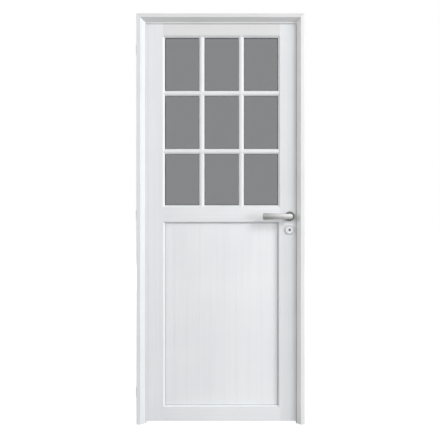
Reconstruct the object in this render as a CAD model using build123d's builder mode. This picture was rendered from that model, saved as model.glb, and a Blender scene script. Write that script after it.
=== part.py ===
"""Hinged aluminium door in its three-sided frame, half glazed over a slatted panel.

Millimetres. X runs from the hinge side to the lock side, Y from the front to the back, Z up.
The origin is at floor level on the outer face of the hinge jamb, in the plane of the frame's stop.
The leaf is shut and opens to the back.
"""

import os
from math import hypot

from build123d import *

os.makedirs("parts", exist_ok=True)

# Overall sizes
frame_width = 840.0
frame_height = 2050.0
frame_front = 25.0  # depth of the frame in front of the stop
leaf_thickness = 36.0
extrusion_wall = 1.6

# Running gaps round the leaf
stop_gap = 5.0
hinge_gap = 6.0
lock_gap = 8.0
head_gap = 5.0
floor_gap = 10.0

# Frame section, from the outer face inwards
band_width = 20.0
band_fall = 1.5
outer_round = 3.0
splay_width = 19.5  # slanting reveal between the band and the lip
lip_width = 5.5
lip_thickness = 1.5
rebate_wall = 16.0

# Closing seal on the back of the lip
seal_width = 7.4
seal_base = 3.0
seal_seat_depth = 0.5
seal_side_gap = 0.3
seal_free_gap = 0.3

# Stiles and rails
hinge_stile_width = 104.0
lock_stile_width = 101.0
top_rail_height = 84.0
lock_rail_height = 69.5
lock_rail_base = 1013.0  # above the floor
bottom_rail_height = 67.5

# Beads, glass and glazing bars
bead_width = 10.0
bead_slope = 8.0
bead_edge = 2.0  # step down to the glass
panel_bead_rim = 3.5  # flat edge of the panel beads, flush with the rails
panel_inset = 14.0  # slats behind the rails' front
mitre_gap = 0.2
gasket_thickness = 2.0
gasket_reveal = 1.5
gasket_inset = 2.0
glass_thickness = 4.0
glass_edge_gap = 3.0
bar_width = 26.0
bar_height = 9.0
bar_side = 1.5
bar_columns = 2
bar_rows = 2
pane_height = 266.5  # all rows of panes but the lowest, which is shorter

# Panel slats, tongued and grooved
slat_pitch = 62.6
first_slat_width = 54.0
slat_depth = 8.0
slat_skin = 1.2
slat_edge_gap = 3.0
slat_joint_gap = 0.3
slat_chamfer = 0.4
tongue_length = 4.0
tongue_thickness = 3.0
tongue_gap = 0.3

# Hinges
hinge_foot = 142.0  # lower hinge above the floor
hinge_middle = 1041.0  # middle hinge above the floor
hinge_head = 169.0  # upper hinge below the top of the frame
barrel_radius = 7.5
barrel_offset = 11.5  # axis outside the frame's outer face
barrel_height = 49.0
knuckle_gap = 0.5
pin_radius = 3.0
pin_gap = 0.3
wing_thickness = 3.0
wing_clearance = 4.0  # leaf wing over the jamb's back edge
frame_wing_reach = 14.5
leaf_wing_reach = 30.0
leaf_wing_gap = 2.0
wing_height = 45.0
wing_corner = 5.0

# Lock, strike and their places
lock_height = 1038.0
lock_backset = 52.0
key_drop = 68.0
faceplate_length = 200.0
faceplate_width = 22.0
faceplate_thickness = 2.5
faceplate_drop = 35.0  # plate centre below the lever axis
case_depth = 75.0
case_thickness = 12.0
case_margin = 15.0
latch_size = 16.0
dead_bolt_size = 32.0
bolt_width = 11.0
bolt_length = 24.0
bolt_gap = 0.3
strike_thickness = 1.5
strike_window_gap = 3.0

# Lever set
rosette_radius = 24.0
rosette_thickness = 8.0
neck_radius = 9.5
neck_gap = 0.5
lever_projection = 45.0
lever_length = 133.0
lever_root_half = 12.5
lever_tip_half = 16.8
lever_overhang = 4.0
lever_thickness = 13.0
lever_crown = 6.0  # swell of the front across the widest part
lever_tip_round = 8.0
spindle_size = 8.0
spindle_depth = 18.0
spindle_gap = 0.2
spindle_hole_radius = 12.5

# Key escutcheons
escutcheon_radius = 23.0
escutcheon_thickness = 5.0
key_eye_radius = 4.6
key_slot_width = 4.0
key_slot_length = 8.0
key_bore_radius = 9.0

# Fixing holes through the jambs into the wall
fixing_radius = 3.25
fixing_inset = 200.0  # first and last hole from the jamb's ends
fixing_count = 4

# Places worked out from the sizes above
splay_end = band_width + splay_width
lip_tip = splay_end + lip_width
lip_back = -seal_seat_depth
lip_front = lip_back - lip_thickness
splay_depth = frame_front + lip_front
splay_wall = extrusion_wall * hypot(splay_width, splay_depth) / splay_depth  # wall measured across the frame
band_outer = band_fall - frame_front
seal_seat = lip_tip - seal_width - 2 * seal_side_gap
leaf_front = stop_gap
leaf_back = leaf_front + leaf_thickness
leaf_middle = (leaf_front + leaf_back) / 2
frame_back = leaf_back
leaf_left = rebate_wall + hinge_gap
leaf_right = frame_width - rebate_wall - lock_gap
leaf_bottom = floor_gap
leaf_top = frame_height - rebate_wall - head_gap
opening_left = leaf_left + hinge_stile_width
opening_right = leaf_right - lock_stile_width
panel_bottom = leaf_bottom + bottom_rail_height
panel_top = lock_rail_base
glass_bottom = lock_rail_base + lock_rail_height
glass_top = leaf_top - top_rail_height
pocket_front = leaf_front + bead_slope + bead_edge
pocket_back = pocket_front + 2 * gasket_thickness + glass_thickness
glass_front = pocket_front + gasket_thickness
glass_back = glass_front + glass_thickness
panel_front = leaf_front + panel_inset
panel_back = panel_front + slat_depth
lever_x = leaf_right - lock_backset
key_height = lock_height - key_drop
faceplate_middle = lock_height - faceplate_drop
fixing_depth = frame_back / 2
fixing_pitch = (frame_height - 2 * fixing_inset) / (fixing_count - 1)
fixing_heights = [fixing_inset + index * fixing_pitch for index in range(fixing_count)]
hinge_heights = {"lower": hinge_foot, "middle": hinge_middle, "upper": frame_height - hinge_head}
latch_height = lock_height
dead_bolt_height = key_height


def save(builder, name):
    builder.part.label = name
    export_step(builder.part, f"parts/{name}.step")


def frame_section(plane):
    """Hollow frame profile: local x runs inwards from the outer face, local y to the back."""
    chamber_end = seal_seat - extrusion_wall
    chamber_start = band_width + extrusion_wall * splay_width / splay_depth - splay_wall
    chamber_tip = (chamber_end + splay_wall - band_width) * splay_depth / splay_width - frame_front
    with BuildSketch(plane) as section:
        with BuildLine():
            Polyline(
                (outer_round, band_outer),
                (band_width, -frame_front),
                (splay_end, lip_front),
                (lip_tip, lip_front),
                (lip_tip, lip_back),
                (seal_seat, lip_back),
                (seal_seat, 0),
                (rebate_wall, 0),
                (rebate_wall, frame_back),
                (0, frame_back),
                (0, band_outer + outer_round),
            )
            RadiusArc((0, band_outer + outer_round), (outer_round, band_outer), outer_round)
        make_face()
        with BuildLine():
            Polyline(
                (extrusion_wall, -extrusion_wall),
                (extrusion_wall, band_outer + outer_round),
                (outer_round, band_outer + extrusion_wall),
                (chamber_start, extrusion_wall - frame_front),
                (chamber_end, chamber_tip),
                (chamber_end, -extrusion_wall),
                close=True,
            )
        make_face(mode=Mode.SUBTRACT)
        with BuildLine():
            Polyline(
                (extrusion_wall, 0),
                (rebate_wall - extrusion_wall, 0),
                (rebate_wall - extrusion_wall, frame_back - extrusion_wall),
                (extrusion_wall, frame_back - extrusion_wall),
                close=True,
            )
        make_face(mode=Mode.SUBTRACT)
    return section.sketch


def seal_section(plane):
    """Rubber seal: flat foot in the seat and a round bulb that stops short of the leaf."""
    inner = seal_seat + seal_side_gap
    outer = inner + seal_width
    foot = lip_back + seal_base
    with BuildSketch(plane) as section:
        with BuildLine():
            Polyline((inner, foot), (inner, lip_back), (outer, lip_back), (outer, foot))
            ThreePointArc(
                (outer, foot),
                ((inner + outer) / 2, leaf_front - seal_free_gap),
                (inner, foot),
            )
        make_face()
    return section.sketch


# Planes that carry the frame section round the doorway, and the two mitres
hinge_side = Plane.XY
lock_side = Plane(origin=(frame_width, 0, frame_height), x_dir=(-1, 0, 0), z_dir=(0, 0, -1))
head_side = Plane(origin=(0, 0, frame_height), x_dir=(0, 0, -1), z_dir=(1, 0, 0))
hinge_mitre = Plane(origin=(0, 0, frame_height), z_dir=(1, 0, 1))
lock_mitre = Plane(origin=(frame_width, 0, frame_height), z_dir=(-1, 0, 1))
hinge_fixings = [(0, fixing_depth, height) for height in fixing_heights]
lock_fixings = [(frame_width, fixing_depth, height) for height in fixing_heights]

# Jambs and head
with BuildPart() as hinge_jamb:
    extrude(frame_section(hinge_side), amount=frame_height)
    split(bisect_by=hinge_mitre, keep=Keep.BOTTOM)
    with Locations(*hinge_fixings):
        Cylinder(fixing_radius, 2 * splay_end, rotation=(0, 90, 0), mode=Mode.SUBTRACT)
save(hinge_jamb, "hinge_jamb")

with BuildPart() as lock_jamb:
    extrude(frame_section(lock_side), amount=frame_height)
    split(bisect_by=lock_mitre, keep=Keep.BOTTOM)
    with Locations(*lock_fixings):
        Cylinder(fixing_radius, 2 * splay_end, rotation=(0, 90, 0), mode=Mode.SUBTRACT)
    strike_face = Plane(origin=(frame_width - rebate_wall, leaf_middle, 0), x_dir=(0, 1, 0), z_dir=(1, 0, 0))
    with BuildSketch(strike_face):
        with Locations((0, latch_height)):
            Rectangle(bolt_width + 2 * strike_window_gap, latch_size + 2 * strike_window_gap)
        with Locations((0, dead_bolt_height)):
            Rectangle(bolt_width + 2 * strike_window_gap, dead_bolt_size + 2 * strike_window_gap)
    extrude(amount=rebate_wall / 2, mode=Mode.SUBTRACT)
save(lock_jamb, "lock_jamb")

with BuildPart() as frame_head:
    extrude(frame_section(head_side), amount=frame_width)
    split(bisect_by=hinge_mitre, keep=Keep.TOP)
    split(bisect_by=lock_mitre, keep=Keep.TOP)
save(frame_head, "frame_head")

# Closing seals
with BuildPart() as hinge_seal:
    extrude(seal_section(hinge_side), amount=frame_height)
    split(bisect_by=hinge_mitre.offset(-mitre_gap), keep=Keep.BOTTOM)
save(hinge_seal, "hinge_seal")

with BuildPart() as lock_seal:
    extrude(seal_section(lock_side), amount=frame_height)
    split(bisect_by=lock_mitre.offset(-mitre_gap), keep=Keep.BOTTOM)
save(lock_seal, "lock_seal")

with BuildPart() as head_seal:
    extrude(seal_section(head_side), amount=frame_width)
    split(bisect_by=hinge_mitre, keep=Keep.TOP)
    split(bisect_by=lock_mitre, keep=Keep.TOP)
save(head_seal, "head_seal")

# Strike plate in the lock jamb's rebate
with BuildPart() as strike_plate:
    with BuildSketch(strike_face):
        with Locations((0, faceplate_middle)):
            SlotOverall(faceplate_length, faceplate_width, rotation=90)
        with Locations((0, latch_height)):
            Rectangle(
                bolt_width + 2 * strike_window_gap, latch_size + 2 * strike_window_gap, mode=Mode.SUBTRACT
            )
        with Locations((0, dead_bolt_height)):
            Rectangle(
                bolt_width + 2 * strike_window_gap, dead_bolt_size + 2 * strike_window_gap, mode=Mode.SUBTRACT
            )
    extrude(amount=-strike_thickness)
save(strike_plate, "strike_plate")


def tube_section(plane, first, second):
    """Rectangular hollow profile between two opposite corners."""
    width = second[0] - first[0]
    depth = second[1] - first[1]
    with BuildSketch(plane) as section:
        with Locations(((first[0] + second[0]) / 2, (first[1] + second[1]) / 2)):
            Rectangle(width, depth)
            Rectangle(width - 2 * extrusion_wall, depth - 2 * extrusion_wall, mode=Mode.SUBTRACT)
    return section.sketch


# Stiles, full height
stile_plane = Plane.XY.offset(leaf_bottom)
stile_length = leaf_top - leaf_bottom

with BuildPart() as hinge_stile:
    section = tube_section(stile_plane, (leaf_left, leaf_front), (opening_left, leaf_back))
    extrude(section, amount=stile_length)
save(hinge_stile, "hinge_stile")

with BuildPart() as lock_stile:
    section = tube_section(stile_plane, (opening_right, leaf_front), (leaf_right, leaf_back))
    extrude(section, amount=stile_length)
    with Locations((lever_x, leaf_middle, lock_height)):
        Cylinder(spindle_hole_radius, 2 * leaf_thickness, rotation=(90, 0, 0), mode=Mode.SUBTRACT)
    with Locations((lever_x, leaf_middle, key_height)):
        Cylinder(key_bore_radius, 2 * leaf_thickness, rotation=(90, 0, 0), mode=Mode.SUBTRACT)
    with BuildSketch(Plane(origin=(leaf_right, leaf_middle, 0), x_dir=(0, 1, 0), z_dir=(1, 0, 0))):
        with Locations((0, faceplate_middle)):
            SlotOverall(faceplate_length + 2 * bolt_gap, faceplate_width + 2 * bolt_gap, rotation=90)
    extrude(amount=-2 * extrusion_wall, mode=Mode.SUBTRACT)
save(lock_stile, "lock_stile")

# Rails between the stiles
rail_plane = Plane(origin=(opening_left, 0, 0), x_dir=(0, 1, 0), z_dir=(1, 0, 0))
rail_length = opening_right - opening_left
rails = {
    "bottom_rail": (leaf_bottom, panel_bottom),
    "lock_rail": (panel_top, glass_bottom),
    "top_rail": (glass_top, leaf_top),
}
for name, (rail_low, rail_high) in rails.items():
    with BuildPart() as rail:
        section = tube_section(rail_plane, (leaf_front, rail_low), (leaf_back, rail_high))
        extrude(section, amount=rail_length)
    save(rail, name)


def mitred_bars(points, low, high):
    """Four bars of one section, mitred round the opening between the rails at low and high.

    The section's local x runs from the rail into the opening and its local y to the back.
    """
    width = opening_right - opening_left
    height = high - low
    sides = (
        ((opening_left, low), (1, 0, 0), (0, 0, 1), height),
        ((opening_right, high), (-1, 0, 0), (0, 0, -1), height),
        ((opening_left, high), (0, 0, -1), (1, 0, 0), width),
        ((opening_right, low), (0, 0, 1), (-1, 0, 0), width),
    )
    bars = []
    for (corner_x, corner_z), inwards, along, length in sides:
        start = Vector(corner_x, 0, corner_z)
        end = start + Vector(*along) * length
        with BuildPart() as bar:
            with BuildSketch(Plane(origin=start, x_dir=inwards, z_dir=along)):
                with BuildLine():
                    Polyline(*points, close=True)
                make_face()
            extrude(amount=length)
            first_mitre = Plane(origin=start, z_dir=Vector(*along) - Vector(*inwards))
            last_mitre = Plane(origin=end, z_dir=-Vector(*along) - Vector(*inwards))
            split(bisect_by=first_mitre.offset(mitre_gap / 2), keep=Keep.TOP)
            split(bisect_by=last_mitre.offset(mitre_gap / 2), keep=Keep.TOP)
        bars.append(bar.part)
    return bars


# Sections of the beads and gaskets: bevelled beads round the glass, steeper ones round the panel
glass_bead_front = (
    (0, leaf_front),
    (bead_width, leaf_front + bead_slope),
    (bead_width, pocket_front),
    (0, pocket_front),
)
glass_bead_back = (
    (0, leaf_back),
    (0, pocket_back),
    (bead_width, pocket_back),
    (bead_width, leaf_back - bead_slope),
)
panel_bead_front = (
    (0, leaf_front),
    (panel_bead_rim, leaf_front),
    (bead_width, panel_front),
    (0, panel_front),
)
panel_bead_back = (
    (0, leaf_back),
    (0, panel_back),
    (bead_width, panel_back),
    (panel_bead_rim, leaf_back),
)
front_gasket = (
    (gasket_inset, pocket_front),
    (bead_width + gasket_reveal, pocket_front),
    (bead_width + gasket_reveal, glass_front),
    (gasket_inset, glass_front),
)
back_gasket = (
    (gasket_inset, glass_back),
    (bead_width + gasket_reveal, glass_back),
    (bead_width + gasket_reveal, pocket_back),
    (gasket_inset, pocket_back),
)

surrounds = {
    "glass_beads_front": mitred_bars(glass_bead_front, glass_bottom, glass_top),
    "glass_beads_back": mitred_bars(glass_bead_back, glass_bottom, glass_top),
    "glass_gaskets": mitred_bars(front_gasket, glass_bottom, glass_top)
    + mitred_bars(back_gasket, glass_bottom, glass_top),
    "panel_beads_front": mitred_bars(panel_bead_front, panel_bottom, panel_top),
    "panel_beads_back": mitred_bars(panel_bead_back, panel_bottom, panel_top),
}
for name, bars in surrounds.items():
    with BuildPart() as surround:
        for bar in bars:
            add(bar)
    save(surround, name)

# Glass
glass_width = opening_right - opening_left - 2 * glass_edge_gap
glass_height = glass_top - glass_bottom - 2 * glass_edge_gap
opening_middle = (opening_left + opening_right) / 2
glass_middle = (glass_bottom + glass_top) / 2

with BuildPart() as glass_pane:
    with BuildSketch(Plane.XZ.offset(-glass_back)):
        with Locations((opening_middle, glass_middle)):
            Rectangle(glass_width, glass_height)
    extrude(amount=glass_thickness)
save(glass_pane, "glass_pane")

# Glazing bars: arched in section, crossing in valleys, on both faces of the glass
sight_width = opening_right - opening_left - 2 * bead_width
sight_top = glass_top - bead_width
column_pitch = (sight_width + bar_width) / (bar_columns + 1)
first_column = opening_middle - (bar_columns - 1) / 2 * column_pitch
column_places = [first_column + index * column_pitch for index in range(bar_columns)]
row_pitch = pane_height + bar_width
first_row = sight_top - pane_height - bar_width / 2
row_places = [first_row - index * row_pitch for index in range(bar_rows)]
bar_rise = glass_top - glass_bottom - 2 * gasket_inset
bar_reach = opening_right - opening_left - 2 * gasket_inset


def bar_section(plane, seat, outwards):
    """Arched cap on the glass: local x across the bar, local y to the back."""
    half = bar_width / 2
    shoulder = seat + outwards * bar_side
    crown = seat + outwards * bar_height
    with BuildSketch(plane) as section:
        with BuildLine():
            Polyline((half, shoulder), (half, seat), (-half, seat), (-half, shoulder))
            ThreePointArc((-half, shoulder), (0, crown), (half, shoulder))
        make_face()
    return section.sketch


for name, seat, outwards in (
    ("glazing_bars_front", glass_front, -1),
    ("glazing_bars_back", glass_back, 1),
):
    with BuildPart() as bars:
        for place in column_places:
            column_foot = (place, 0, glass_bottom + gasket_inset)
            column = Plane(origin=column_foot, x_dir=(1, 0, 0), z_dir=(0, 0, 1))
            extrude(bar_section(column, seat, outwards), amount=bar_rise)
        for place in row_places:
            row_end = (opening_left + gasket_inset, 0, place)
            row = Plane(origin=row_end, x_dir=(0, 0, -1), z_dir=(1, 0, 0))
            extrude(bar_section(row, seat, outwards), amount=bar_reach)
        side = "front" if outwards < 0 else "back"
        for bead in surrounds[f"glass_beads_{side}"] + surrounds["glass_gaskets"]:
            add(bead, mode=Mode.SUBTRACT)
    save(bars, name)

# Panel slats
panel_left = opening_left + slat_edge_gap
panel_right = opening_right - slat_edge_gap
slat_plane = Plane.XY.offset(panel_bottom + slat_edge_gap)
slat_length = panel_top - panel_bottom - 2 * slat_edge_gap
slat_middle = (panel_front + panel_back) / 2
groove_length = tongue_length + tongue_gap
groove_thickness = tongue_thickness + 2 * tongue_gap
slat_edges = [panel_left]
slat_edge = panel_left + first_slat_width
while slat_edge < panel_right - bead_width:
    slat_edges.append(slat_edge)
    slat_edge += slat_pitch
slat_edges.append(panel_right)

for index, (slat_left, next_left) in enumerate(zip(slat_edges, slat_edges[1:]), start=1):
    is_first = index == 1
    is_last = index == len(slat_edges) - 1
    slat_right = next_left if is_last else next_left - slat_joint_gap
    chamber_left = slat_left + slat_skin if is_first else slat_left + groove_length + slat_skin
    chamber_right = slat_right - slat_skin
    with BuildPart() as slat:
        with BuildSketch(slat_plane):
            with Locations(((slat_left + slat_right) / 2, slat_middle)):
                Rectangle(slat_right - slat_left, slat_depth)
            if not is_last:
                with Locations((slat_right, slat_middle)):
                    Rectangle(tongue_length, tongue_thickness, align=(Align.MIN, Align.CENTER))
            if not is_first:
                with Locations((slat_left, slat_middle)):
                    Rectangle(
                        groove_length, groove_thickness, align=(Align.MIN, Align.CENTER), mode=Mode.SUBTRACT
                    )
            with Locations(((chamber_left + chamber_right) / 2, slat_middle)):
                Rectangle(chamber_right - chamber_left, slat_depth - 2 * slat_skin, mode=Mode.SUBTRACT)
        extrude(amount=slat_length)
        upright = slat.edges().filter_by(Axis.Z)
        corners = upright.group_by(Axis.Y)[0] + upright.group_by(Axis.Y)[-1]
        chamfer(corners, slat_chamfer)
    save(slat, f"slat_{index}")

# Hinges: two knuckles and the pin on the jamb, the middle knuckle on the leaf
hinge_y = frame_back + barrel_radius
leaf_knuckle_half = barrel_height / 6
leaf_wing_left = leaf_left + leaf_wing_gap
knuckle_cut = 2 * (barrel_offset + frame_wing_reach)

for place, height in hinge_heights.items():
    with BuildPart() as frame_hinge:
        with Locations((-barrel_offset, hinge_y, height)):
            Cylinder(barrel_radius, barrel_height)
        with Locations((-barrel_offset, frame_back, height)):
            Box(
                barrel_offset + frame_wing_reach,
                wing_thickness,
                wing_height,
                align=(Align.MIN, Align.MIN, Align.CENTER),
            )
        with Locations((-barrel_offset, hinge_y, height)):
            Box(knuckle_cut, knuckle_cut, 2 * (leaf_knuckle_half + knuckle_gap), mode=Mode.SUBTRACT)
            Cylinder(pin_radius, barrel_height)
    save(frame_hinge, f"frame_hinge_{place}")

    with BuildPart() as leaf_hinge:
        with BuildSketch(Plane.XY.offset(height - leaf_knuckle_half)):
            with Locations((-barrel_offset, hinge_y)):
                Circle(barrel_radius)
            with Locations((-barrel_offset, frame_back + wing_clearance)):
                Rectangle(barrel_offset + leaf_wing_left, wing_thickness, align=(Align.MIN, Align.MIN))
            with Locations((-barrel_offset, hinge_y)):
                Circle(pin_radius + pin_gap, mode=Mode.SUBTRACT)
        extrude(amount=2 * leaf_knuckle_half)
        with Locations((leaf_wing_left, leaf_back, height)):
            Box(
                leaf_wing_reach,
                wing_clearance + wing_thickness,
                wing_height,
                align=(Align.MIN, Align.MIN, Align.CENTER),
            )
        wing_corners = leaf_hinge.edges().filter_by(Axis.Y).sort_by(Axis.X)[-2:]
        fillet(wing_corners, wing_corner)
    save(leaf_hinge, f"leaf_hinge_{place}")

# Lock: faceplate flush in the stile's edge, case behind it, bolts drawn back
with BuildPart() as lock_body:
    with BuildSketch(Plane(origin=(leaf_right, leaf_middle, 0), x_dir=(0, 1, 0), z_dir=(1, 0, 0))):
        with Locations((0, faceplate_middle)):
            SlotOverall(faceplate_length, faceplate_width, rotation=90)
    extrude(amount=-faceplate_thickness)
    with Locations((leaf_right - faceplate_thickness, leaf_middle, faceplate_middle)):
        Box(
            case_depth,
            case_thickness + bolt_gap,
            faceplate_length - 2 * case_margin,
            align=(Align.MAX, Align.CENTER, Align.CENTER),
        )
    for bolt_height, bolt_size in ((latch_height, latch_size), (dead_bolt_height, dead_bolt_size)):
        with Locations((leaf_right, leaf_middle, bolt_height)):
            Box(
                bolt_length + bolt_gap,
                bolt_width + 2 * bolt_gap,
                bolt_size + 2 * bolt_gap,
                align=(Align.MAX, Align.CENTER, Align.CENTER),
                mode=Mode.SUBTRACT,
            )
    with Locations((lever_x, leaf_middle, lock_height)):
        Cylinder(spindle_size, 2 * case_thickness, rotation=(90, 0, 0), mode=Mode.SUBTRACT)
save(lock_body, "lock_body")

with BuildPart() as lock_bolts:
    for bolt_height, bolt_size in ((latch_height, latch_size), (dead_bolt_height, dead_bolt_size)):
        with Locations((leaf_right, leaf_middle, bolt_height)):
            Box(bolt_length, bolt_width, bolt_size, align=(Align.MAX, Align.CENTER, Align.CENTER))
save(lock_bolts, "lock_bolts")

# Rosettes, escutcheons and levers on both faces of the lock stile
for side, face, outwards in (("front", leaf_front, -1), ("back", leaf_back, 1)):
    face_plane = Plane(origin=(lever_x, face, 0), x_dir=(-outwards, 0, 0), z_dir=(0, outwards, 0))

    with BuildPart() as rosette:
        with BuildSketch(face_plane):
            with Locations((0, lock_height)):
                Circle(rosette_radius)
                Circle(neck_radius + neck_gap, mode=Mode.SUBTRACT)
        extrude(amount=rosette_thickness)
    save(rosette, f"rosette_{side}")

    with BuildPart() as escutcheon:
        with BuildSketch(face_plane):
            with Locations((0, key_height)):
                Circle(escutcheon_radius)
        extrude(amount=escutcheon_thickness)
        with BuildSketch(face_plane):
            with Locations((0, key_height)):
                Circle(key_eye_radius)
                Rectangle(key_slot_width, key_slot_length, align=(Align.CENTER, Align.MAX))
        extrude(amount=escutcheon_thickness, mode=Mode.SUBTRACT)
    save(escutcheon, f"escutcheon_{side}")

    # The blade points to the hinge side: local x runs that way, local y up
    blade_plane = Plane(
        origin=(lever_x, face + outwards * (lever_projection - lever_thickness / 2), lock_height),
        x_dir=(-1, 0, 0),
        z_dir=(0, outwards, 0),
    )
    # Across the blade, at its axis: local y runs from the blade's back to its swollen front
    swell_plane = Plane(
        origin=blade_plane.origin,
        x_dir=(0, 0, outwards),
        z_dir=(-1, 0, 0),
    )
    with BuildPart() as lever:
        with BuildSketch(blade_plane):
            with BuildLine():
                Polyline(
                    (-lever_overhang, -lever_root_half),
                    (lever_length, -lever_tip_half),
                    (lever_length, lever_tip_half),
                    (-lever_overhang, lever_root_half),
                )
                ThreePointArc(
                    (-lever_overhang, lever_root_half),
                    (-lever_overhang - lever_root_half, 0),
                    (-lever_overhang, -lever_root_half),
                )
            make_face()
        extrude(amount=lever_thickness)
        tip_edges = lever.edges().filter_by(Axis.Y).sort_by(Axis.X)[:2]
        fillet(tip_edges, lever_tip_round)
        with BuildSketch(swell_plane):
            with BuildLine():
                Polyline(
                    (-lever_tip_half, lever_thickness - lever_crown),
                    (-lever_tip_half, 0),
                    (lever_tip_half, 0),
                    (lever_tip_half, lever_thickness - lever_crown),
                )
                ThreePointArc(
                    (lever_tip_half, lever_thickness - lever_crown),
                    (0, lever_thickness),
                    (-lever_tip_half, lever_thickness - lever_crown),
                )
            make_face()
        extrude(amount=lever_length, both=True, mode=Mode.INTERSECT)
        neck_length = lever_projection - lever_thickness / 2
        with BuildSketch(blade_plane):
            Circle(neck_radius)
        extrude(amount=-(neck_length - neck_gap))
        with BuildSketch(blade_plane.offset(neck_gap - neck_length)):
            Rectangle(spindle_size + 2 * spindle_gap, spindle_size + 2 * spindle_gap)
        extrude(amount=spindle_depth + spindle_gap, mode=Mode.SUBTRACT)
    save(lever, f"lever_{side}")

# Square spindle between the levers
spindle_half = leaf_thickness / 2 + neck_gap + spindle_depth
with BuildPart() as spindle:
    with Locations((lever_x, leaf_middle, lock_height)):
        Box(spindle_size, 2 * spindle_half, spindle_size)
save(spindle, "spindle")
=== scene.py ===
import math

import bmesh
import bpy
from mathutils import Matrix, Vector


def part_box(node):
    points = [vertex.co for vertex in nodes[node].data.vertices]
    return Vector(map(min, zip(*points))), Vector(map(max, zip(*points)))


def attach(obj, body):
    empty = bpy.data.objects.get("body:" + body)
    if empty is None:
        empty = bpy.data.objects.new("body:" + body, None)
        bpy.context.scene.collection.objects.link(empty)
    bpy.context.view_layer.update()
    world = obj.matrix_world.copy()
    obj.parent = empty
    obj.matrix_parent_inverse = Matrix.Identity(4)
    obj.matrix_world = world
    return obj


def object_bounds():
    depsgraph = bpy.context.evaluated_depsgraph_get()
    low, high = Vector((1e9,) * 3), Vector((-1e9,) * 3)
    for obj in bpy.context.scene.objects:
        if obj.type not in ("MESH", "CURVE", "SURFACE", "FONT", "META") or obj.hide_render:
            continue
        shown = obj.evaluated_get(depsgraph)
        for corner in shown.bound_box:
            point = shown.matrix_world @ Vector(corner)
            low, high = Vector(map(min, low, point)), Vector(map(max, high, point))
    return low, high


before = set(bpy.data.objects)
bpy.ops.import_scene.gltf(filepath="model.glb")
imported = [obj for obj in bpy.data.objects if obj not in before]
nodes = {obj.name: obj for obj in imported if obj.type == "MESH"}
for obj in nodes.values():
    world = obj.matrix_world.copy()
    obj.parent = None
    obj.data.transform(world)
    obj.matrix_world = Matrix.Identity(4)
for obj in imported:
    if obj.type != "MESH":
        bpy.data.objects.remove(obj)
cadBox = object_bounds()
print("frame loaded:", len(nodes), "nodes")


def linear(hexCode):
    # sRGB hex to linear RGBA
    parts = [int(hexCode[i:i + 2], 16) / 255 for i in (1, 3, 5)]
    return [p / 12.92 if p <= 0.04045 else ((p + 0.055) / 1.055) ** 2.4 for p in parts] + [1.0]


def addNode(tree, kind, settings=None, links=None):
    # settings: attribute or socket values, links: input socket from an output socket
    node = tree.nodes.new(kind)
    for key, value in (settings or {}).items():
        if isinstance(key, str) and hasattr(node, key):
            setattr(node, key, value)
        else:
            node.inputs[key].default_value = value
    for key, source in (links or {}).items():
        tree.links.new(source, node.inputs[key])
    return node


def startMaterial(name, shaderValues):
    mat = bpy.data.materials.new(name)
    mat.use_nodes = True
    tree = mat.node_tree
    tree.nodes.clear()
    shader = addNode(tree, "ShaderNodeBsdfPrincipled", shaderValues)
    addNode(tree, "ShaderNodeOutputMaterial", links={"Surface": shader.outputs["BSDF"]})
    place = addNode(tree, "ShaderNodeTexCoord").outputs["Object"]
    return mat, tree, shader, place


def perMetre(millimetres):
    # texture scale whose features repeat about every so many mm
    return 1000 / millimetres


# White polyester powder coat, sprayed and baked on aluminium extrusions: even satin white with a soft
# orange peel, and faint tone lines along the metal where the die marks of the extrusion show through
# the lines are drawn wider than real so that they show
coatLook = {
    "bright": "#edeff1", "dull": "#e7e9ec", "toneFrom": 0.35, "toneTo": 0.65, "roughness": 0.42,
    "glossSpread": 0.05, "peelMm": 3.2, "peelHeight": 0.00004, "cloudMm": 260, "lineMm": 9, "lineStretch": 60,
}


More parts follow.
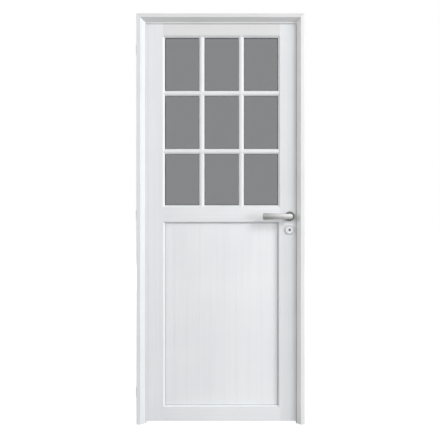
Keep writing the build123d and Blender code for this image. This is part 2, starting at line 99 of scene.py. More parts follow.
def makePowderCoat(name, look, stretchAxis):
    mat, tree, shader, place = startMaterial(name, {"IOR": 1.5, "Specular IOR Level": 0.42})
    stretch = [1.0, 1.0, 1.0]
    stretch[stretchAxis] = 1 / look["lineStretch"]
    along = addNode(tree, "ShaderNodeMapping", {"Scale": stretch}, {"Vector": place})
    lines = addNode(tree, "ShaderNodeTexNoise", {"Scale": perMetre(look["lineMm"]), "Detail": 3.0},
                    {"Vector": along.outputs["Vector"]})
    clouds = addNode(tree, "ShaderNodeTexNoise", {"Scale": perMetre(look["cloudMm"]), "Detail": 2.0},
                     {"Vector": place})
    blend = addNode(tree, "ShaderNodeMix", {"data_type": "FLOAT", "Factor": 0.5},
                    {"A": lines.outputs["Fac"], "B": clouds.outputs["Fac"]})
    tone = addNode(tree, "ShaderNodeValToRGB", links={"Fac": blend.outputs["Result"]})
    tone.color_ramp.elements[0].position = look["toneFrom"]
    tone.color_ramp.elements[0].color = linear(look["dull"])
    tone.color_ramp.elements[1].position = look["toneTo"]
    tone.color_ramp.elements[1].color = linear(look["bright"])
    tree.links.new(tone.outputs["Color"], shader.inputs["Base Color"])
    if "paintedLightFrom" in look:
        # painted light that brightens the coat towards one side, in a soft run along X
        where = addNode(tree, "ShaderNodeSeparateXYZ", links={"Vector": place})
        run = addNode(tree, "ShaderNodeMapRange", {"From Min": look["paintedLightFrom"], "From Max": look["paintedLightTo"],
                      "To Min": 1.0, "To Max": look["paintedLightLift"]}, {"Value": where.outputs["X"]})
        paintedLighter = addNode(tree, "ShaderNodeHueSaturation", links={"Color": tone.outputs["Color"],
                                                                 "Value": run.outputs["Result"]})
        tree.links.new(paintedLighter.outputs["Color"], shader.inputs["Base Color"])
    peel = addNode(tree, "ShaderNodeTexNoise", {"Scale": perMetre(look["peelMm"]), "Detail": 2.0},
                   {"Vector": place})
    gloss = addNode(tree, "ShaderNodeMapRange", {"To Min": look["roughness"] - look["glossSpread"],
                    "To Max": look["roughness"] + look["glossSpread"]}, {"Value": peel.outputs["Fac"]})
    tree.links.new(gloss.outputs["Result"], shader.inputs["Roughness"])
    bump = addNode(tree, "ShaderNodeBump", {"Strength": 1.0, "Distance": look["peelHeight"]},
                   {"Height": peel.outputs["Fac"]})
    tree.links.new(bump.outputs["Normal"], shader.inputs["Normal"])
    return mat


powderCoatUpright = makePowderCoat("whitePowderCoatUpright", coatLook, 2)
# slats and rails, with painted light that brightens them towards the lock side
paintedLightLook = {"paintedLightFrom": 0.14, "paintedLightTo": 0.55}
slatLook = {**coatLook, **paintedLightLook, "bright": "#eef0f2", "dull": "#e8eaed", "paintedLightLift": 1.09}
slatCoat = makePowderCoat("whitePowderCoatSlats", slatLook, 2)
railCoat = makePowderCoat("whitePowderCoatRails", {**coatLook, **paintedLightLook, "paintedLightLift": 1.08}, 0)
# less blue in the coat of the head, the top rail and the lock jamb; the head and the top rail are also
# darker, as painted shade, and the lock jamb is lighter, as painted light
headShadeLook = {**coatLook, "bright": "#e6e6e7", "dull": "#e0e0e1"}
powderCoatAcross = makePowderCoat("whitePowderCoatAcross", headShadeLook, 0)
jambLightLook = {**coatLook, "bright": "#f3f3f3", "dull": "#ededed"}
jambCoat = makePowderCoat("whitePowderCoatJamb", jambLightLook, 2)


# Brushed metals: fine straight scratches from an abrasive belt, which spread the highlight along one side
# scratches and grain are drawn wider than real so that they show
metalLook = {"metallic": 1.0, "toneFrom": 0.3, "toneTo": 0.7, "glossSpread": 0.06}


def makeBrushedMetal(name, look, stretchAxis):
    mat, tree, shader, place = startMaterial(name, {"Metallic": look["metallic"],
                                                    "Anisotropic": look["anisotropy"]})
    stretch = [1.0, 1.0, 1.0]
    stretch[stretchAxis] = 1 / look["scratchStretch"]
    along = addNode(tree, "ShaderNodeMapping", {"Scale": stretch}, {"Vector": place})
    scratches = addNode(tree, "ShaderNodeTexNoise", {"Scale": perMetre(look["scratchMm"]), "Detail": 4.0},
                        {"Vector": along.outputs["Vector"]})
    tone = addNode(tree, "ShaderNodeValToRGB", links={"Fac": scratches.outputs["Fac"]})
    tone.color_ramp.elements[0].position = look["toneFrom"]
    tone.color_ramp.elements[0].color = linear(look["dull"])
    tone.color_ramp.elements[1].position = look["toneTo"]
    tone.color_ramp.elements[1].color = linear(look["bright"])
    tree.links.new(tone.outputs["Color"], shader.inputs["Base Color"])
    if "tipShadeFrom" in look:
        # painted shade that darkens the blade towards its tip, in a soft run along X
        where = addNode(tree, "ShaderNodeSeparateXYZ", links={"Vector": place})
        tipShade = addNode(tree, "ShaderNodeMapRange", {"From Min": look["tipShadeTo"], "From Max": look["tipShadeFrom"]},
                       {"Value": where.outputs["X"]})
        tipShaded = addNode(tree, "ShaderNodeMix", {"data_type": "RGBA", "A": linear(look["tipShade"])},
                         {"Factor": tipShade.outputs["Result"], "B": tone.outputs["Color"]})
        tree.links.new(tipShaded.outputs["Result"], shader.inputs["Base Color"])
    gloss = addNode(tree, "ShaderNodeMapRange", {"To Min": look["roughness"] - look["glossSpread"],
                    "To Max": look["roughness"] + look["glossSpread"]}, {"Value": scratches.outputs["Fac"]})
    tree.links.new(gloss.outputs["Result"], shader.inputs["Roughness"])
    if "tipShadeFrom" in look:
        # the same run also makes the blade rougher towards its tip
        haze = addNode(tree, "ShaderNodeMapRange", {"To Min": look["tipShadeHaze"], "To Max": 0.0},
                       {"Value": tipShade.outputs["Result"]})
        dulled = addNode(tree, "ShaderNodeMath", {"operation": "ADD"},
                         {0: gloss.outputs["Result"], 1: haze.outputs["Result"]})
        tree.links.new(dulled.outputs["Value"], shader.inputs["Roughness"])
    bump = addNode(tree, "ShaderNodeBump", {"Strength": 1.0, "Distance": look["scratchHeight"]},
                   {"Height": scratches.outputs["Fac"]})
    tree.links.new(bump.outputs["Normal"], shader.inputs["Normal"])
    return mat


# Satin anodised aluminium of the levers, with painted shade that darkens the blade from the root towards the
# tip
leverLook = {**metalLook, "bright": "#fafaf9", "dull": "#eeeeed", "tipShade": "#a9a9a8", "tipShadeFrom": 0.772,
             "tipShadeTo": 0.650, "tipShadeHaze": 0.20, "metallic": 0.5, "roughness": 0.18, "anisotropy": 0.3,
             "scratchMm": 1.2, "scratchStretch": 40, "scratchHeight": 0.00002}
satinAluminium = makeBrushedMetal("satinAnodisedAluminium", leverLook, 0)

# The same metal with painted shade, on rosettes and lever edges: darker, and more matt
shadedMetalLook = {**metalLook, "bright": "#8e8e8e", "dull": "#7c7c7c", "roughness": 0.28, "anisotropy": 0.0,
               "scratchMm": 0.8, "scratchStretch": 1, "scratchHeight": 0.00002}
shadedAluminium = makeBrushedMetal("shadedAnodisedAluminium", shadedMetalLook, 0)
shadedLeverEdgeLook = {**shadedMetalLook, "bright": "#6e6e6e", "dull": "#606060"}
shadedLeverEdge = makeBrushedMetal("shadedAnodisedEdge", shadedLeverEdgeLook, 0)

# Zinc plated steel of the faceplate, strike and screws
steelLook = {**metalLook, "bright": "#bcbdbe", "dull": "#a3a4a6", "roughness": 0.36, "anisotropy": 0.4,
             "scratchMm": 1.0, "scratchStretch": 50, "scratchHeight": 0.00002}
brushedSteel = makeBrushedMetal("brushedZincedSteel", steelLook, 2)

# Cast and filed brass of the latch and dead bolt
brassLook = {**metalLook, "bright": "#c9a866", "dull": "#a98646", "roughness": 0.32, "anisotropy": 0.2,
             "scratchMm": 1.5, "scratchStretch": 12, "scratchHeight": 0.00003}
boltBrass = makeBrushedMetal("filedBrass", brassLook, 2)


# White nylon, injection moulded with a fine spark-eroded grain: as white as the coat, and a little more matt
# the grain is drawn coarser than real so that it shows
plasticLook = {"bright": "#eff0f1", "dull": "#e8e9eb", "roughness": 0.5, "glossSpread": 0.05,
               "grainMm": 0.9, "grainHeight": 0.00002}


def makeMouldedPlastic(name, look):
    mat, tree, shader, place = startMaterial(name, {"IOR": 1.53})
    grain = addNode(tree, "ShaderNodeTexNoise", {"Scale": perMetre(look["grainMm"]), "Detail": 2.0},
                    {"Vector": place})
    tone = addNode(tree, "ShaderNodeValToRGB", links={"Fac": grain.outputs["Fac"]})
    tone.color_ramp.elements[0].color = linear(look["dull"])
    tone.color_ramp.elements[1].color = linear(look["bright"])
    tree.links.new(tone.outputs["Color"], shader.inputs["Base Color"])
    gloss = addNode(tree, "ShaderNodeMapRange", {"To Min": look["roughness"] - look["glossSpread"],
                    "To Max": look["roughness"] + look["glossSpread"]}, {"Value": grain.outputs["Fac"]})
    tree.links.new(gloss.outputs["Result"], shader.inputs["Roughness"])
    bump = addNode(tree, "ShaderNodeBump", {"Strength": 1.0, "Distance": look["grainHeight"]},
                   {"Height": grain.outputs["Fac"]})
    tree.links.new(bump.outputs["Normal"], shader.inputs["Normal"])
    return mat


whitePlastic = makeMouldedPlastic("mouldedWhiteNylon", plasticLook)

# Extruded EPDM rubber: matt with a dusty bloom, dark grey on gaskets, white on the closing seals; the dark
# grey also serves as painted shade on the thin edges round slats and panes, round the keyholes and along the
# lock lip
gasketLook = {**plasticLook, "bright": "#4a4b4c", "dull": "#333435", "roughness": 0.78,
              "grainMm": 4.0, "grainHeight": 0.00004}
gasketRubberAndShade = makeMouldedPlastic("extrudedDarkRubberAndPaintedShade", gasketLook)
sealLook = {**gasketLook, "bright": "#f7f7f8", "dull": "#f0f0f1", "roughness": 0.7}
sealRubber = makeMouldedPlastic("extrudedPaleRubber", sealLook)

# Grey body-tinted float glass: smooth, dims what is behind it to a mid grey
glassLook = {"tint": "#7e7f81", "cloudMm": 180, "roughness": 0.06, "glossSpread": 0.02}


def makeTintedGlass(name, look):
    mat, tree, shader, place = startMaterial(name, {"IOR": 1.5, "Transmission Weight": 1.0,
                                                    "Base Color": linear(look["tint"])})
    cloud = addNode(tree, "ShaderNodeTexNoise", {"Scale": perMetre(look["cloudMm"]), "Detail": 1.0},
                    {"Vector": place})
    gloss = addNode(tree, "ShaderNodeMapRange", {"To Min": look["roughness"] - look["glossSpread"],
                    "To Max": look["roughness"] + look["glossSpread"]}, {"Value": cloud.outputs["Fac"]})
    tree.links.new(gloss.outputs["Result"], shader.inputs["Roughness"])
    return mat


tintedGlass = makeTintedGlass("greyTintedFloatGlass", glassLook)
print("materials made:", len(bpy.data.materials))


# Edges of the CAD nodes: triangles joined, flat faces cleared of diagonals, corners rounded
# by tenths of a mm on the extrusions and by more on the fittings
edgeLook = {"weldMm": 0.01, "flatAngle": 1.0, "sharpAngle": 30.0, "segments": 3,
            "plainMm": 0.5, "hingeMm": 1.0, "beadMm": 0.3, "slatMm": 0.1}


def makeShadeGroup(sharpAngle):
    group = bpy.data.node_groups.new("shadeByAngle", "GeometryNodeTree")
    group.interface.new_socket("Geometry", in_out="INPUT", socket_type="NodeSocketGeometry")
    group.interface.new_socket("Geometry", in_out="OUTPUT", socket_type="NodeSocketGeometry")
    start = addNode(group, "NodeGroupInput")
    soft = addNode(group, "GeometryNodeSetShadeSmooth", {"domain": "FACE"},
                   {"Geometry": start.outputs["Geometry"]})
    angle = addNode(group, "GeometryNodeInputMeshEdgeAngle")
    steep = addNode(group, "FunctionNodeCompare",
                    {"operation": "GREATER_THAN", "B": math.radians(sharpAngle)},
                    {"A": angle.outputs["Unsigned Angle"]})
    hard = addNode(group, "GeometryNodeSetShadeSmooth", {"domain": "EDGE", "Shade Smooth": False},
                   {"Geometry": soft.outputs["Geometry"], "Selection": steep.outputs["Result"]})
    addNode(group, "NodeGroupOutput", links={"Geometry": hard.outputs["Geometry"]})
    return group


shadeGroup = makeShadeGroup(edgeLook["sharpAngle"])


def roundEdges(node, widthMm):
    weld = node.modifiers.new("weld", "WELD")
    weld.merge_threshold = edgeLook["weldMm"] / 1000
    flat = node.modifiers.new("flat", "DECIMATE")
    flat.decimate_type = "DISSOLVE"
    flat.angle_limit = math.radians(edgeLook["flatAngle"])
    shade = node.modifiers.new("shade", "NODES")
    shade.node_group = shadeGroup
    edge = node.modifiers.new("edge", "BEVEL")
    edge.width = widthMm / 1000
    edge.segments = edgeLook["segments"]
    edge.limit_method = "ANGLE"
    edge.angle_limit = math.radians(edgeLook["sharpAngle"])
    edge.harden_normals = True


# Finish of each CAD node, and the radius of its edges in mm
plainEdge = edgeLook["plainMm"]
finishes = {
    "frame_head": (powderCoatAcross, plainEdge), "lock_jamb": (jambCoat, plainEdge),
    "top_rail": (powderCoatAcross, plainEdge), "lock_rail": (railCoat, plainEdge),
    "bottom_rail": (railCoat, plainEdge),
    "glass_pane": (tintedGlass, 0.0), "glass_gaskets": (gasketRubberAndShade, 0.0),
    "hinge_seal": (sealRubber, 0.0), "lock_seal": (sealRubber, 0.0), "head_seal": (sealRubber, 0.0),
    "lever_front": (satinAluminium, 2.4), "lever_back": (satinAluminium, 2.4),
    "rosette_front": (shadedAluminium, 2.0), "rosette_back": (shadedAluminium, 2.0),
    "escutcheon_front": (whitePlastic, 0.9), "escutcheon_back": (whitePlastic, 0.9),
    "strike_plate": (brushedSteel, 0.25), "lock_body": (brushedSteel, 0.25), "spindle": (brushedSteel, 0.25),
    "lock_bolts": (boltBrass, 0.6),
}
for name in nodes:
    if "beads" in name:
        finishes[name] = (powderCoatUpright, edgeLook["beadMm"])
    elif name.startswith("slat"):
        finishes[name] = (slatCoat, edgeLook["slatMm"])
    elif name not in finishes:
        # hinges and the stile they hang on are rounder than the other extrusions
        rounder = "hinge_" in name and name != "hinge_jamb"
        finishes[name] = (powderCoatUpright, edgeLook["hingeMm"] if rounder else plainEdge)

for name, (mat, edgeMm) in finishes.items():
    nodes[name].data.materials.clear()
    nodes[name].data.materials.append(mat)
    if edgeMm:
        roundEdges(nodes[name], edgeMm)
    if name.startswith("lever"):
        # the bevelled edges of the levers get the darker metal, as painted shade
        nodes[name].data.materials.append(shadedLeverEdge)
        nodes[name].modifiers["edge"].material = 1
print("finishes set on", len(finishes), "nodes")


# Small fasteners
mergeDistance = 0.000001


def joinInto(bm, part):
    data = bpy.data.meshes.new("part")
    part.to_mesh(data)
    part.free()
    bm.from_mesh(data)
    bpy.data.meshes.remove(data)


def finishPiece(name, bm, mat, body):
    bmesh.ops.remove_doubles(bm, verts=bm.verts, dist=mergeDistance)
    bmesh.ops.recalc_face_normals(bm, faces=bm.faces)
    data = bpy.data.meshes.new(name)
    bm.to_mesh(data)
    bm.free()
    data.materials.append(mat)
    piece = bpy.data.objects.new(name, data)
    bpy.context.scene.collection.objects.link(piece)
    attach(piece, body)


screwLook = {"height": 0.0009, "crown": 0.8, "sides": 24, "armWidth": 0.26, "armReach": 0.62,
             "depth": 0.0008, "taper": 0.7}


def addScrewHead(bm, place, outwards, radius, turn):
    # low raised head with a cross recess, standing on the plate at place and looking outwards
    look = screwLook
    head = bmesh.new()
    bmesh.ops.create_cone(head, cap_ends=True, segments=look["sides"], radius1=radius,
                          radius2=radius * look["crown"], depth=look["height"])
    bmesh.ops.translate(head, verts=head.verts, vec=(0, 0, look["height"] / 2))
    for axis in (Vector((1, 0, 0)), Vector((0, 1, 0))):
        for reach in (look["armWidth"] / 2, look["armReach"]):
            for side in (-1, 1):
                bmesh.ops.bisect_plane(head, geom=head.verts[:] + head.edges[:] + head.faces[:],
                                       dist=mergeDistance / 10, plane_co=axis * side * reach * radius,
                                       plane_no=axis)
    half, far = look["armWidth"] / 2 * radius, look["armReach"] * radius
    arms = []
    for face in head.faces:
        middle = face.calc_center_median()
        across, along = sorted((abs(middle.x), abs(middle.y)))
        facesUp = face.normal.z > 0.9
        if facesUp and across < half and along < far:
            arms.append(face)
    sunk = bmesh.ops.extrude_face_region(head, geom=arms)
    sunkVerts = [g for g in sunk["geom"] if isinstance(g, bmesh.types.BMVert)]
    bmesh.ops.scale(head, verts=sunkVerts, vec=(look["taper"], look["taper"], 1))
    bmesh.ops.translate(head, verts=sunkVerts, vec=(0, 0, -look["depth"]))
    aim = Vector(outwards).to_track_quat("Z", "Y").to_matrix().to_4x4()
    move = Matrix.Translation(place) @ aim @ Matrix.Rotation(math.radians(turn), 4, "Z")
    bmesh.ops.transform(head, matrix=move, verts=head.verts)
    joinInto(bm, head)


hingeScrews = {"leafRadius": 0.0038, "leafIn": 0.62, "leafRise": 0.0125, "leafWing": 0.007,
               "frameRadius": 0.0030, "frameIn": 0.0065, "frameRise": 0.0155, "frameWing": 0.003,
               "turns": (12, 61, 35, 80, 24, 47)}
halfTurns = len(hingeScrews["turns"]) // 2  # the frame's screws take the turns from the middle of the list
leafHeads = bmesh.new()
frameHeads = bmesh.new()
stileLow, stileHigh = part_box("hinge_stile")
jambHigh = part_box("hinge_jamb")[1]
screw = 0
for level in ("lower", "middle", "upper"):
    leafLow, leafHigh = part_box("leaf_hinge_" + level)
    frameLow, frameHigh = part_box("frame_hinge_" + level)
    # the wings lie on the back of stile and jamb, and the screws stand on them
    leafX = stileLow.x + (leafHigh.x - stileLow.x) * hingeScrews["leafIn"]
    leafY = stileHigh.y + hingeScrews["leafWing"]
    frameX = frameHigh.x - hingeScrews["frameIn"]
    frameY = jambHigh.y + hingeScrews["frameWing"]
    for side in (-1, 1):
        leafZ = (leafLow.z + leafHigh.z) / 2 + side * hingeScrews["leafRise"]
        frameZ = (frameLow.z + frameHigh.z) / 2 + side * hingeScrews["frameRise"]
        addScrewHead(leafHeads, (leafX, leafY, leafZ), (0, 1, 0), hingeScrews["leafRadius"],
                     hingeScrews["turns"][screw])
        addScrewHead(frameHeads, (frameX, frameY, frameZ), (0, 1, 0), hingeScrews["frameRadius"],
                     hingeScrews["turns"][screw - halfTurns])
        screw += 1
finishPiece("leaf_hinge_screws", leafHeads, brushedSteel, "leaf")
finishPiece("frame_hinge_screws", frameHeads, brushedSteel, "frame")

lockScrews = {"radius": 0.0036, "endIn": 0.0105, "turns": (18, 57)}
faceHeads = bmesh.new()
strikeHeads = bmesh.new()
faceLow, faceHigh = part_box("lock_body")
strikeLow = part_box("strike_plate")[0]
faceMiddle = (faceLow.y + faceHigh.y) / 2
levels = (faceLow.z + lockScrews["endIn"], faceHigh.z - lockScrews["endIn"])
for index, level in enumerate(levels):
    addScrewHead(faceHeads, (faceHigh.x, faceMiddle, level), (1, 0, 0), lockScrews["radius"],
                 lockScrews["turns"][index])
    addScrewHead(strikeHeads, (strikeLow.x, faceMiddle, level), (-1, 0, 0), lockScrews["radius"],
                 lockScrews["turns"][1 - index])
finishPiece("faceplate_screws", faceHeads, brushedSteel, "leaf")
finishPiece("strike_screws", strikeHeads, brushedSteel, "frame")

# Grub screws that clamp the levers on the spindle, in the underside of each neck
grubLook = {"radius": 0.0026, "sides": 24, "socket": 0.55, "depth": 0.0016, "neckRadius": 0.0095,
            "fromRosette": 0.009}
grubs = bmesh.new()
spindleLow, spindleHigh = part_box("spindle")
axisX, axisZ = (spindleLow.x + spindleHigh.x) / 2, (spindleLow.z + spindleHigh.z) / 2
grubYs = (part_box("rosette_front")[0].y - grubLook["fromRosette"],
          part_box("rosette_back")[1].y + grubLook["fromRosette"])
socketRadius = grubLook["radius"] * grubLook["socket"]
halfway = (grubLook["radius"] + socketRadius) / 2
for grubY in grubYs:
    grub = bmesh.new()
    bmesh.ops.create_circle(grub, segments=grubLook["sides"], radius=grubLook["radius"])
    bmesh.ops.create_circle(grub, segments=6, radius=socketRadius)  # hexagon socket
    bmesh.ops.bridge_loops(grub, edges=grub.edges[:])
    inner = [e for e in grub.edges if e.is_boundary and e.verts[0].co.length < halfway]
    outer = [e for e in grub.edges if e.is_boundary and e.verts[0].co.length > halfway]
    for ring in (inner, outer):
        drop = bmesh.ops.extrude_edge_only(grub, edges=ring)
        dropVerts = [g for g in drop["geom"] if isinstance(g, bmesh.types.BMVert)]
        bmesh.ops.translate(grub, verts=dropVerts, vec=(0, 0, -grubLook["depth"]))
    bmesh.ops.holes_fill(grub, edges=grub.edges[:], sides=0)
    faceDown = Matrix.Rotation(math.pi, 4, "X")
    inNeck = Matrix.Translation((axisX, grubY, axisZ - grubLook["neckRadius"]))
    bmesh.ops.transform(grub, matrix=inNeck @ faceDown, verts=grub.verts)
    joinInto(grubs, grub)
finishPiece("lever_grub_screws", grubs, brushedSteel, "handle")
print("fasteners made")

# Painted shade at the edge of each key plate: a thin grey ring near the edge
shadeRingLook = {"radius": 0.0212, "thick": 0.0007, "sides": 10, "steps": 64}
shadeRingMaterial = makeMouldedPlastic("greyPaintedShadeRing", {**plasticLook, "bright": "#8b8c8d", "dull": "#7b7c7d"})
plateLow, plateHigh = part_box("escutcheon_front")
plateFaces = (plateLow.y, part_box("escutcheon_back")[1].y)
keyX, keyZ = (plateLow.x + plateHigh.x) / 2, (plateLow.z + plateHigh.z) / 2
shadeRings = bmesh.new()
for faceY in plateFaces:
    ring = bmesh.ops.create_circle(shadeRings, segments=shadeRingLook["sides"], radius=shadeRingLook["thick"],
                                   matrix=Matrix.Translation((keyX + shadeRingLook["radius"], faceY, keyZ)))
    ringEdges = list({e for v in ring["verts"] for e in v.link_edges})
    bmesh.ops.spin(shadeRings, geom=ring["verts"] + ringEdges, cent=(keyX, faceY, keyZ), axis=(0, 1, 0),
                   angle=math.tau, steps=shadeRingLook["steps"], use_merge=True)
finishPiece("key_plate_shade_rings", shadeRings, shadeRingMaterial, "leaf")

# Painted shade that edges the eye of each keyhole: a dark ring, open below where the slot runs down
keyholeShadeLook = {"radius": 0.0052, "thick": 0.0006, "gap": 54.0, "sides": 10, "steps": 40}
keyholeShades = bmesh.new()
for faceY in plateFaces:
    eye = Matrix.Translation((keyX, faceY, keyZ)) @ Matrix.Rotation(math.radians(keyholeShadeLook["gap"] / 2), 4, "Y")
    below = Matrix.Translation((0, 0, -keyholeShadeLook["radius"])) @ Matrix.Rotation(math.radians(90), 4, "Y")
    ring = bmesh.ops.create_circle(keyholeShades, segments=keyholeShadeLook["sides"], radius=keyholeShadeLook["thick"], cap_ends=True,
                                   matrix=eye @ below)
    ringEdges = {e for v in ring["verts"] for e in v.link_edges}
    ringFaces = {f for v in ring["verts"] for f in v.link_faces}
    bmesh.ops.spin(keyholeShades, geom=ring["verts"] + list(ringEdges | ringFaces), cent=(keyX, faceY, keyZ),
                   axis=(0, 1, 0), angle=math.radians(360 - keyholeShadeLook["gap"]), steps=keyholeShadeLook["steps"])
finishPiece("keyhole_shade_rims", keyholeShades, gasketRubberAndShade, "leaf")
print("key plate details made")

# Painted shade as thin dark strips on both faces: round the slats at the foot of the panel beads, and round
# each pane where beads and bars meet the glass
shadeStripLook = {"height": 0.0006, "panelWidth": 0.0010, "panelShift": -0.0006, "panelUnder": 0.0004,
             "paneWidth": 0.0014, "beadWidth": 0.010, "gasketReveal": 0.0015, "barWidth": 0.026,
             "rowHeight": 0.2665, "columns": 3, "rows": 3}


def addStripLoop(bm, low, high, faceY, outwards, width, shift=0.0):
    # flat ring inside the corners low and high (x, z), standing on the face at faceY
    # shift moves the inner edge sideways, so that the painted shade is wider on one side
    loop = bmesh.new()
    bmesh.ops.create_grid(loop, x_segments=1, y_segments=1, size=0.5)
    bmesh.ops.scale(loop, verts=loop.verts, vec=(high[0] - low[0], high[1] - low[1], 1))
    middle = loop.faces[:]
    bmesh.ops.inset_region(loop, faces=middle, thickness=width, use_even_offset=True, use_boundary=True)
    bmesh.ops.translate(loop, verts=middle[0].verts[:], vec=(shift, 0, 0))
    bmesh.ops.delete(loop, geom=middle, context="FACES")
    raised = bmesh.ops.extrude_face_region(loop, geom=loop.faces[:])
    raisedVerts = [g for g in raised["geom"] if isinstance(g, bmesh.types.BMVert)]
    bmesh.ops.translate(loop, verts=raisedVerts, vec=(0, 0, shadeStripLook["height"]))
    centre = Matrix.Translation(((low[0] + high[0]) / 2, faceY, (low[1] + high[1]) / 2))
    upright = Matrix.Rotation(math.radians(-90 * outwards), 4, "X")
    bmesh.ops.transform(loop, matrix=centre @ upright, verts=loop.verts)
    joinInto(bm, loop)


beadLow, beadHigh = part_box("panel_beads_front")
slatLow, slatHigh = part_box("slat_1")
sideIn = shadeStripLook["beadWidth"]
# above and below, part of the strip lies under the bead
endIn = shadeStripLook["beadWidth"] - shadeStripLook["panelUnder"]
panelShadeStrips = bmesh.new()
for faceY, outwards in ((slatLow.y, -1), (slatHigh.y, 1)):
    addStripLoop(panelShadeStrips, (beadLow.x + sideIn, beadLow.z + endIn), (beadHigh.x - sideIn, beadHigh.z - endIn),
                 faceY, outwards, shadeStripLook["panelWidth"], shadeStripLook["panelShift"])
finishPiece("panel_edge_shade_strips", panelShadeStrips, gasketRubberAndShade, "leaf")

beadLow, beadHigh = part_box("glass_beads_front")
glassLow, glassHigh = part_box("glass_pane")
reveal, width, barWidth = shadeStripLook["gasketReveal"], shadeStripLook["paneWidth"], shadeStripLook["barWidth"]
sightLeft, sightRight = beadLow.x + shadeStripLook["beadWidth"], beadHigh.x - shadeStripLook["beadWidth"]
sightLow, sightHigh = beadLow.z + shadeStripLook["beadWidth"], beadHigh.z - shadeStripLook["beadWidth"]
paneWide = (sightRight - sightLeft + barWidth) / shadeStripLook["columns"] - barWidth
paneShadeStrips = bmesh.new()
for column in range(shadeStripLook["columns"]):
    left = sightLeft + column * (paneWide + barWidth)
    right = left + paneWide
    for row in range(shadeStripLook["rows"]):
        top = sightHigh - row * (shadeStripLook["rowHeight"] + barWidth)
        low = top - shadeStripLook["rowHeight"]
        # along the beads the strip starts at the gasket, and at the head it stays under it
        corners = ((max(left, sightLeft + reveal), max(low, sightLow + reveal)),
                   (min(right, sightRight - reveal), min(top, sightHigh - reveal + width)))
        for faceY, outwards in ((glassLow.y, -1), (glassHigh.y, 1)):
            addStripLoop(paneShadeStrips, *corners, faceY, outwards, width)
finishPiece("pane_edge_shade_strips", paneShadeStrips, gasketRubberAndShade, "leaf")

# Coat that bridges the joints of the slats a little below their faces, so that the joints show only faintly
jointLook = {"gap": 0.0003, "bite": 0.00005, "drop": 0.0008, "thick": 0.0004}
jointWide = jointLook["gap"] + 2 * jointLook["bite"]
joints = bmesh.new()
for name in nodes:
    if name.startswith("slat") and name != "slat_1":
        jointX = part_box(name)[0].x - jointLook["gap"] / 2
        for faceY, inwards in ((slatLow.y, 1), (slatHigh.y, -1)):
            jointY = faceY + inwards * (jointLook["drop"] + jointLook["thick"] / 2)
            bridge = bmesh.ops.create_cube(joints, size=1.0)["verts"]
            bmesh.ops.scale(joints, verts=bridge, vec=(jointWide, jointLook["thick"], slatHigh.z - slatLow.z))
            bmesh.ops.translate(joints, verts=bridge, vec=(jointX, jointY, (slatLow.z + slatHigh.z) / 2))
finishPiece("slat_joint_coat", joints, slatCoat, "leaf")

# Painted shade along the lip of the lock jamb, where the leaf closes against it: a thin dark strip
lipShadeLook = {"width": 0.0018, "height": 0.0004, "lipThick": 0.0015, "edgeIn": 0.0011}
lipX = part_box("lock_jamb")[0].x + lipShadeLook["edgeIn"] + lipShadeLook["width"] / 2
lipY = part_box("lock_seal")[0].y - lipShadeLook["lipThick"] - lipShadeLook["height"] / 2
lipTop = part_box("frame_head")[0].z
lipShade = bmesh.new()
bmesh.ops.create_cube(lipShade, size=1.0)
bmesh.ops.scale(lipShade, verts=lipShade.verts, vec=(lipShadeLook["width"], lipShadeLook["height"], lipTop))
bmesh.ops.translate(lipShade, verts=lipShade.verts, vec=(lipX, lipY, lipTop / 2))
finishPiece("lock_lip_shade_strip", lipShade, gasketRubberAndShade, "frame")
print("rubber edges and joints made")


# Floor, light and camera
floorLook = {"colour": "#a2a2a2", "size": 30.0, "lift": 0.91}
studio = {
    "above": 0.30, "front": 0.50, "lampSide": 2.6, "lampDistance": 8.0,
    # turn to the right of the door's front and rise above level in degrees, power in watts
    "lamps": {"side": (65, 4, 238), "high": (50, 30, 258), "fill": (-50, 10, 149), "back": (205, 8, 380),
              "left": (-100, 10, 160)},
}
lens = {"distance": 3.4, "frontPlane": -0.025, "mmPerPixel": 4.977, "axisPixel": (295.0, 196.0),
        "doorMiddle": (220.55, 0.420), "floorPixel": 424.9, "imageSide": 440, "sensor": 36.0}

floorMesh = bmesh.new()
bmesh.ops.create_grid(floorMesh, x_segments=2, y_segments=2, size=floorLook["size"] / 2)
floorData = bpy.data.meshes.new("floor")
floorMesh.to_mesh(floorData)
floorMesh.free()
floor = bpy.data.objects.new("floor", floorData)
bpy.context.scene.collection.objects.link(floor)

floorMat = bpy.data.materials.new("paleFloor")
floorMat.use_nodes = True
tree = floorMat.node_tree
tree.nodes.clear()
lightPath = addNode(tree, "ShaderNodeLightPath")
seen = addNode(tree, "ShaderNodeMath", {"operation": "MAXIMUM"},
               {0: lightPath.outputs["Is Camera Ray"], 1: lightPath.outputs["Is Transmission Ray"]})
lift = addNode(tree, "ShaderNodeMath", {"operation": "MULTIPLY", 1: floorLook["lift"]},
               {0: seen.outputs["Value"]})
floorShader = addNode(tree, "ShaderNodeBsdfPrincipled", {"Base Color": linear(floorLook["colour"]),
                      "Roughness": 0.9, "Specular IOR Level": 0.0, "Emission Color": (1, 1, 1, 1)},
                      {"Emission Strength": lift.outputs["Value"]})
addNode(tree, "ShaderNodeOutputMaterial", links={"Surface": floorShader.outputs["BSDF"]})
floorData.materials.append(floorMat)

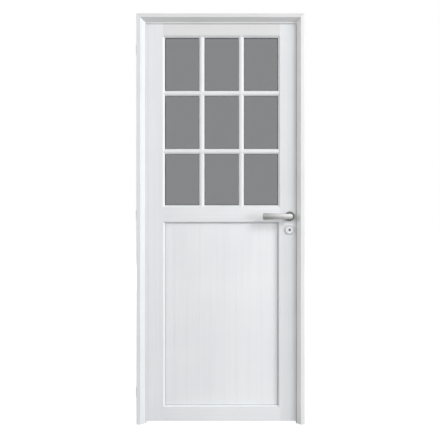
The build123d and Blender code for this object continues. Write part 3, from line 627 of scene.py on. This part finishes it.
world = bpy.data.worlds.new("studio")
bpy.context.scene.world = world
world.use_nodes = True
tree = world.node_tree
tree.nodes.clear()
lightPath = addNode(tree, "ShaderNodeLightPath")
straight = addNode(tree, "ShaderNodeMath", {"operation": "MAXIMUM"},
                   {0: lightPath.outputs["Is Camera Ray"], 1: lightPath.outputs["Is Transmission Ray"]})
seen = addNode(tree, "ShaderNodeMath", {"operation": "MAXIMUM"},
               {0: straight.outputs["Value"], 1: lightPath.outputs["Is Glossy Ray"]})
heading = addNode(tree, "ShaderNodeTexCoord").outputs["Generated"]
split = addNode(tree, "ShaderNodeSeparateXYZ", links={"Vector": heading})
above = addNode(tree, "ShaderNodeMapRange", {"To Max": studio["above"]}, {"Value": split.outputs["Z"]})
front = addNode(tree, "ShaderNodeMapRange", {"From Max": -1.0, "To Max": studio["front"]},
                {"Value": split.outputs["Y"]})
glow = addNode(tree, "ShaderNodeMath", {"operation": "ADD"},
               {0: above.outputs["Result"], 1: front.outputs["Result"]})
strength = addNode(tree, "ShaderNodeMix", {"data_type": "FLOAT", "B": 1.0},
                   {"Factor": seen.outputs["Value"], "A": glow.outputs["Value"]})
sky = addNode(tree, "ShaderNodeBackground", {"Color": (1, 1, 1, 1)},
              {"Strength": strength.outputs["Result"]})
addNode(tree, "ShaderNodeOutputWorld", links={"Surface": sky.outputs["Background"]})

doorCentre = (cadBox[0] + cadBox[1]) / 2
for name, (turn, rise, power) in studio["lamps"].items():
    lamp = bpy.data.lights.new(name, "AREA")
    lamp.shape = "SQUARE"
    lamp.size = studio["lampSide"]
    lamp.energy = power
    turn, rise = math.radians(turn), math.radians(rise)
    towards = Vector((math.sin(turn) * math.cos(rise), -math.cos(turn) * math.cos(rise), math.sin(rise)))
    lampObject = bpy.data.objects.new(name, lamp)
    lampObject.visible_camera = False
    lampObject.visible_transmission = False
    lampObject.location = doorCentre + towards * studio["lampDistance"]
    lampObject.rotation_euler = (-towards).to_track_quat("-Z", "Y").to_euler()
    bpy.context.scene.collection.objects.link(lampObject)

metresPerPixel = lens["mmPerPixel"] / 1000
camData = bpy.data.cameras.new("camera")
camData.sensor_width = lens["sensor"]
camData.lens = lens["sensor"] * lens["distance"] / (lens["imageSide"] * metresPerPixel)
camData.shift_x = -(lens["axisPixel"][0] - lens["imageSide"] / 2) / lens["imageSide"]
camData.shift_y = (lens["axisPixel"][1] - lens["imageSide"] / 2) / lens["imageSide"]
camera = bpy.data.objects.new("camera", camData)
camera.location = (
    lens["doorMiddle"][1] + (lens["axisPixel"][0] - lens["doorMiddle"][0]) * metresPerPixel,
    lens["frontPlane"] - lens["distance"],
    (lens["floorPixel"] - lens["axisPixel"][1]) * metresPerPixel,
)
camera.rotation_euler = (math.radians(90), 0, 0)
bpy.context.scene.collection.objects.link(camera)
bpy.context.scene.camera = camera
bpy.context.scene.view_settings.view_transform = "Standard"
print("stage, lamps and camera set")
